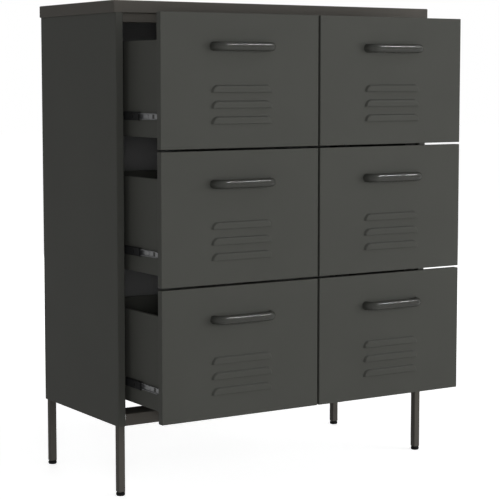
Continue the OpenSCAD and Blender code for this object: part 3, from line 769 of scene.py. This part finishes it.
# x is counted outwards from the box wall, y backwards from the member's front end
DRAWER_LIP_X = 5 * MM
MIDDLE_LIP_X = 2 * MM
MIDDLE_BACK_X = 7.6 * MM            # the web of the middle member
MEMBER_T = 1 * MM
MIDDLE_T = 0.8 * MM
TRACK_R = 2 * MM                    # rounding of the ball tracks
SLOT_Y, SLOT_L = 18.5 * MM, 8 * MM
BUMPER_Y = 22 * MM
BUMPER_WINDOW_R = 6.4 * MM          # the bumper itself is a part of the ball cage
PIN_R, PIN_RISE = 3.4 * MM, 0.5 * MM
PIN_DOME = [(1, 0), (0.8, 0.7), (0.4, 1), (0, 1)]    # in shares of the pin's radius and rise
PIN_DEPTH = 1 * MM                  # from the web back to the pin
WINDOW_PITCH, WINDOW_R = 50 * MM, 3 * MM
WINDOW_MARGIN = 1 * MM              # from a window to the cuts across the web beside it
RING_STEPS = 32


def at_both_walls(build, walls, start_y, middle_z):
    """Builds a shape in a member's own frame, and puts it at both walls of a drawer box."""
    both = bmesh.new()
    for wall_x, way in zip(walls, (-1, 1)):
        shape = build()
        if way < 0:
            bmesh.ops.scale(shape, vec=(-1, 1, 1), verts=shape.verts)
            bmesh.ops.reverse_faces(shape, faces=shape.faces)
        bmesh.ops.translate(shape, vec=(wall_x, start_y, middle_z), verts=shape.verts)
        join(both, shape)
    return both


def cut_web(shape, web_x, start, stop, half_h):
    """Opens the web of a member between two places along it, and gives the opening's edges."""
    cut_across(shape, Y, start)
    cut_across(shape, Y, stop)
    gone = [face for face in shape.faces if on_plane(face, X, web_x)
            and all(start - NEAR < vert.co.y < stop + NEAR and abs(vert.co.z) < half_h
                    for vert in face.verts)]
    rims = [edge for face in gone for edge in face.edges]
    bmesh.ops.delete(shape, geom=gone, context="FACES_ONLY")
    return rims


def round_window(shape, web_x, middle_y, radius, half_h):
    """A round hole in the web of a member."""
    reach = radius + WINDOW_MARGIN
    rims = cut_web(shape, web_x, middle_y - reach, middle_y + reach, half_h)
    turn = Matrix.Translation((web_x, middle_y, 0)) @ Matrix.Rotation(math.pi / 2, 4, "Y")
    made = bmesh.ops.create_circle(shape, segments=RING_STEPS, radius=radius, matrix=turn)["verts"]
    circle = list(dict.fromkeys(edge for vert in made for edge in vert.link_edges))
    bmesh.ops.bridge_loops(shape, edges=rims + circle)


def make_drawer_members(drawer):
    """The bright members on the box walls, with their round tips and the slot behind them."""
    low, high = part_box(f"{drawer}_drawer_runners")
    half_h, length = (high.z - low.z) / 2, high.y - low.y

    def build():
        shape = bmesh.new()
        outline = [(DRAWER_LIP_X, half_h), (0, half_h), (0, -half_h), (DRAWER_LIP_X, -half_h)]
        folded_strip(shape, outline, Y, half_h, length, (-1, 0, 0), TRACK_R)
        cut_web(shape, 0, SLOT_Y, SLOT_Y + SLOT_L, half_h)
        tip = bmesh.new()
        turn = Matrix.Translation((0, half_h, 0)) @ Matrix.Rotation(-math.pi / 2, 4, "Y")
        bmesh.ops.create_circle(tip, cap_ends=True, segments=RING_STEPS, radius=half_h,
                                matrix=turn)
        cut_across(tip, Y, half_h, clear_outer=True)
        join(shape, tip)
        return shape

    walls = (low.x + DRAWER_LIP_X, high.x - DRAWER_LIP_X)
    shape = at_both_walls(build, walls, low.y, (low.z + high.z) / 2)
    thicken(finish_piece(f"{drawer}_drawer_members", shape, "zinc_steel", f"{drawer}_drawer",
                         f"{drawer}_drawer_runners"), MEMBER_T)


def bumper_pin():
    """The domed head of the pin in a bumper's bore, a little below the web of the member."""
    shape = lathe([(share * PIN_R, rise * PIN_RISE) for share, rise in PIN_DOME], (0, 0, 0),
                  RING_STEPS)
    if sum(face.normal.z for face in shape.faces) < 0:
        bmesh.ops.reverse_faces(shape, faces=shape.faces)
    turn = Matrix.Translation((MIDDLE_BACK_X - PIN_DEPTH, BUMPER_Y, 0))
    bmesh.ops.transform(shape, matrix=turn @ Matrix.Rotation(math.pi / 2, 4, "Y"),
                        verts=shape.verts)
    return shape


def make_middle_members(drawer):
    """The blackened middle members, with the window and pin of their bumper and three small
    windows."""
    low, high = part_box(f"{drawer}_middle_runners")
    half_h, length = (high.z - low.z) / 2, high.y - low.y

    def build():
        shape = bmesh.new()
        outline = [(MIDDLE_LIP_X, half_h), (MIDDLE_BACK_X, half_h), (MIDDLE_BACK_X, -half_h),
                   (MIDDLE_LIP_X, -half_h)]
        folded_strip(shape, outline, Y, 0, length, (1, 0, 0))
        round_window(shape, MIDDLE_BACK_X, BUMPER_Y, BUMPER_WINDOW_R, half_h)
        for step in (-1, 0, 1):
            round_window(shape, MIDDLE_BACK_X, length / 2 + step * WINDOW_PITCH, WINDOW_R, half_h)
        join(shape, bumper_pin())
        return shape

    walls = (low.x + MIDDLE_BACK_X, high.x - MIDDLE_BACK_X)
    shape = at_both_walls(build, walls, low.y, (low.z + high.z) / 2)
    thicken(finish_piece(f"{drawer}_middle_members", shape, "dark_steel",
                         f"{drawer}_middle_runner", f"{drawer}_middle_runners"), MIDDLE_T)


for drawer in DRAWERS:
    make_front(drawer)
    make_box(drawer)
    make_handle(drawer)
    make_drawer_members(drawer)
    make_middle_members(drawer)


# ---------------------------------------------------------------- screws

HEAD_R, HEAD_H, HEAD_STEPS = 4 * MM, 1 * MM, 40
SHANK_R, SHANK_SIDES = 2 * MM, 20
RECESS_HALF_W, RECESS_R, RECESS_DEPTH = 0.55 * MM, 2.1 * MM, 0.7 * MM
# A head's outline, in shares of its radius and height. Its rings are close where the recess is
HEAD_RINGS = [(1.0, 0.0), (1.0, 0.35), (0.94, 0.62), (0.80, 0.84), (0.64, 0.94), (0.52, 0.97),
              (0.40, 0.98), (0.28, 0.99), (0.14, 1.0), (0.0, 1.0)]


def along(start, direction):
    """The matrix that puts a shape made along +Z at a start, along a direction."""
    turn = Vector((0, 0, 1)).rotation_difference(Vector(direction))
    return Matrix.Translation(start) @ turn.to_matrix().to_4x4()


def screw_head(place, direction, recess):
    """A low domed head that stands on a surface, with or without a cross recess."""
    outline = [(ring * HEAD_R, rise * HEAD_H) for ring, rise in HEAD_RINGS]
    shape = lathe(outline, (0, 0, 0), HEAD_STEPS)
    if recess:
        for vert in shape.verts:
            x, y = abs(vert.co.x), abs(vert.co.y)
            if min(x, y) < RECESS_HALF_W and max(x, y) < RECESS_R and vert.co.z > HEAD_H / 2:
                vert.co.z -= RECESS_DEPTH
    bmesh.ops.transform(shape, matrix=along(place, direction), verts=shape.verts)
    return shape


def shank(start, stop):
    shape = bmesh.new()
    bmesh.ops.create_cone(shape, cap_ends=True, segments=SHANK_SIDES, radius1=SHANK_R,
                          radius2=SHANK_R, depth=(stop - start).length,
                          matrix=along((start + stop) / 2, stop - start))
    return shape


def make_screws(name, body, node):
    """Domed screws, and rivets with a head at both ends, where the node has its plain ones."""
    whole = bmesh.new()
    for points in solids_of(node):
        low, high = corners(points)
        size, middle = high - low, (low + high) / 2
        axis = min((X, Y, Z), key=lambda index: size[index])
        across = (axis + 1) % 3
        heads = []
        for end, way in ((low, -1), (high, 1)):
            rim = [point for point in points if abs(point[axis] - end[axis]) < NEAR]
            if max(abs(point[across] - middle[across]) for point in rim) > (HEAD_R + SHANK_R) / 2:
                heads.append((end, way))
        seat = {}
        for end, way in heads:
            direction, place = Vector((0, 0, 0)), middle.copy()
            direction[axis] = way
            place[axis] = seat[way] = end[axis] - way * HEAD_H
            join(whole, screw_head(place, direction, recess=len(heads) == 1))
        start, stop = middle.copy(), middle.copy()
        start[axis] = seat.get(-1, low[axis])
        stop[axis] = seat.get(1, high[axis])
        join(whole, shank(start, stop))
    finish_piece(name, whole, "fasteners", body, node)


make_screws("carcass_screws", "cabinet", "carcass_fasteners")
for drawer in DRAWERS:
    make_screws(f"{drawer}_screw_set", f"{drawer}_drawer", f"{drawer}_screws")


# ---------------------------------------------------------------- finishes of the CAD nodes

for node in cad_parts.values():
    for place in node.material_slots:
        if place.material:
            slot = place.material.name.split(".")[0]
            place.material = FINISHES.get(slot, place.material)
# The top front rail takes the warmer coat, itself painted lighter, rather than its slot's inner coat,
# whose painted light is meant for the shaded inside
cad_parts["top_front_rail"].material_slots[0].material = FINISHES["warm_coat_painted_lighter"]


# ---------------------------------------------------------------- studio

WHITE = (1, 1, 1, 1)


def background_rays(tree):
    """1 for rays from the camera and for reflections and refractions, else 0."""
    path = tree.nodes.new("ShaderNodeLightPath")
    seen = math_node(tree, "ADD", path.outputs["Is Camera Ray"], path.outputs["Is Glossy Ray"])
    return math_node(tree, "ADD", seen, path.outputs["Is Transmission Ray"], clamp=True)


def make_world(fill, overhead):
    """White to the camera and in reflections. It lights by fill, and by overhead from above."""
    world = bpy.data.worlds.new("studio")
    bpy.context.scene.world = world
    world.use_nodes = True
    tree = world.node_tree
    background = tree.nodes["Background"]
    background.inputs["Color"].default_value = WHITE
    way = add(tree, "ShaderNodeSeparateXYZ")
    feed(tree, way.inputs["Vector"], add(tree, "ShaderNodeTexCoord").outputs["Generated"])
    light = map_range(tree, way.outputs["Z"], low=0.1, high=0.8, to_low=fill, to_high=overhead)
    seen = background_rays(tree)
    unseen = math_node(tree, "MULTIPLY", light, math_node(tree, "SUBTRACT", 1.0, seen))
    feed(tree, background.inputs["Strength"], math_node(tree, "ADD", seen, unseen))


def make_floor(size, shade, near_lift, far_lift):
    """A pale floor that glows to the camera until it is white. It glows less near the cabinet,
    and keeps a very faint shadow there."""
    shape = bmesh.new()
    bmesh.ops.create_grid(shape, x_segments=1, y_segments=1, size=size)
    mesh = bpy.data.meshes.new("floor")
    shape.to_mesh(mesh)
    shape.free()
    floor = bpy.data.objects.new("floor", mesh)
    bpy.context.scene.collection.objects.link(floor)
    material, tree, shader = new_material("pale floor")
    shader.inputs["Base Color"].default_value = (shade, shade, shade, 1)
    shader.inputs["Roughness"].default_value = 0.9
    shader.inputs["Specular IOR Level"].default_value = 0.0
    shader.inputs["Emission Color"].default_value = WHITE
    away = add(tree, "ShaderNodeVectorMath", operation="LENGTH")
    feed(tree, away.inputs[0], add(tree, "ShaderNodeTexCoord").outputs["Object"])
    lift = map_range(tree, away.outputs["Value"], low=0.5, high=2.0, to_low=near_lift,
                     to_high=far_lift)
    feed(tree, shader.inputs["Emission Strength"],
         math_node(tree, "MULTIPLY", background_rays(tree), lift))
    mesh.materials.append(material)


def soft_box(name, place, aim, width, height, radiance, sheen_only=False):
    """A rectangular lamp that faces its aim. It either lights the surfaces or only shows in
    their sheen."""
    lamp = bpy.data.lights.new(name, "AREA")
    lamp.shape = "RECTANGLE"
    lamp.size, lamp.size_y = width, height
    lamp.energy = radiance * math.pi * width * height
    box = bpy.data.objects.new(name, lamp)
    box.location = place
    box.rotation_euler = (Vector(aim) - Vector(place)).to_track_quat("-Z", "Y").to_euler()
    box.visible_glossy = sheen_only
    box.visible_diffuse = not sheen_only
    bpy.context.scene.collection.objects.link(box)


def make_camera(place, yaw, pitch, lens, shift_y):
    """yaw turns the view from +Y towards +X, and pitch lowers it, both in degrees."""
    data = bpy.data.cameras.new("camera")
    data.lens, data.sensor_width, data.shift_y = lens, 36.0, shift_y
    data.clip_end = 100.0
    camera = bpy.data.objects.new("camera", data)
    camera.location = place
    camera.rotation_euler = (math.radians(90 - pitch), 0, math.radians(-yaw))
    bpy.context.scene.collection.objects.link(camera)
    bpy.context.scene.camera = camera


make_world(fill=0.235, overhead=0.17)
make_floor(size=20.0, shade=0.8, near_lift=0.73, far_lift=0.86)
soft_box("key", place=(2.9, -2.6, 0.9), aim=(0, 0, 0.45), width=2.6, height=1.75, radiance=6.1)
soft_box("front", place=(0.6, -4.2, 1.1), aim=(0, 0, 0.45), width=2.2, height=1.7, radiance=3.2)
soft_box("left", place=(-3.2, -0.4, 1.0), aim=(0, 0, 0.5), width=2.2, height=1.9, radiance=0.48)
soft_box("back", place=(1.3, 4.0, 1.2), aim=(0, 0.26, 0.5), width=2.2, height=1.9, radiance=4.0)
soft_box("viewer", place=(-1.96, -3.06, 0.86), aim=(0, 0, 0.55), width=0.8, height=0.8,
         radiance=16.0)
# Parallel to X, for the line of light along the handles
soft_box("strip", place=(1.88, -1.75, 2.85), aim=(1.88, -0.25, 0.7), width=1.36, height=0.06,
         radiance=640.0, sheen_only=True)
make_camera(place=(-1.8907, -2.9450, 0.8574), yaw=32.41, pitch=5.415, lens=114.75,
            shift_y=-0.04)
bpy.context.scene.view_settings.view_transform = "Standard"
